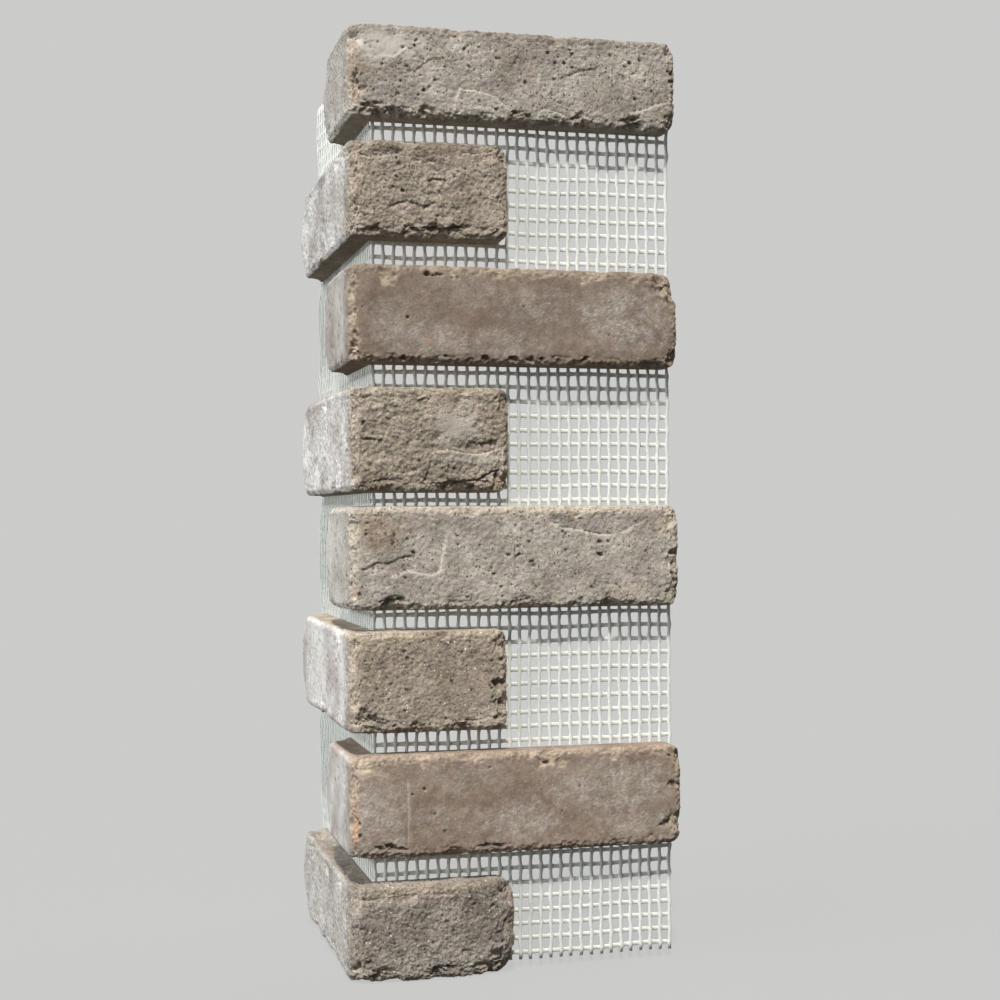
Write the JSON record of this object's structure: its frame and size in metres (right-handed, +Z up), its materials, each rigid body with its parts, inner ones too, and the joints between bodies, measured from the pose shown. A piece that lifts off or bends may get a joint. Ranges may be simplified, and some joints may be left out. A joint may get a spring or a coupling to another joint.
{
  "type": "thin brick corner sheet",
  "caption": "Corner sheet of tumbled L-shaped thin bricks in offset courses, bonded to an open net folded at a right angle, for cladding the corner of a wall.",
  "frame": {"origin": "fold line of the net's back, where the wall's corner goes, at the level of the bottom bed", "axes": "+Z up the corner; +X along the front leg; +Y along the side leg; the bricks face -Y and -X"},
  "size_m": [0.1925, 0.197, 0.5274],
  "materials": {
    "brick": "rough fired clay, tumbled, grey-brown with pale bloom",
    "net": "off-white coated glass-fibre net"
  },
  "bodies": {
    "root": {"corner_brick_1": "brick", "corner_brick_2": "brick", "corner_brick_3": "brick", "corner_brick_4": "brick", "corner_brick_5": "brick", "corner_brick_6": "brick", "corner_brick_7": "brick", "corner_brick_8": "brick", "net_front_1": "net", "net_front_2": "net", "net_front_3": "net", "net_front_4": "net", "net_front_5": "net", "net_side_1": "net", "net_side_2": "net", "net_side_3": "net", "net_side_4": "net", "net_side_5": "net"}
  },
  "joints": []
}
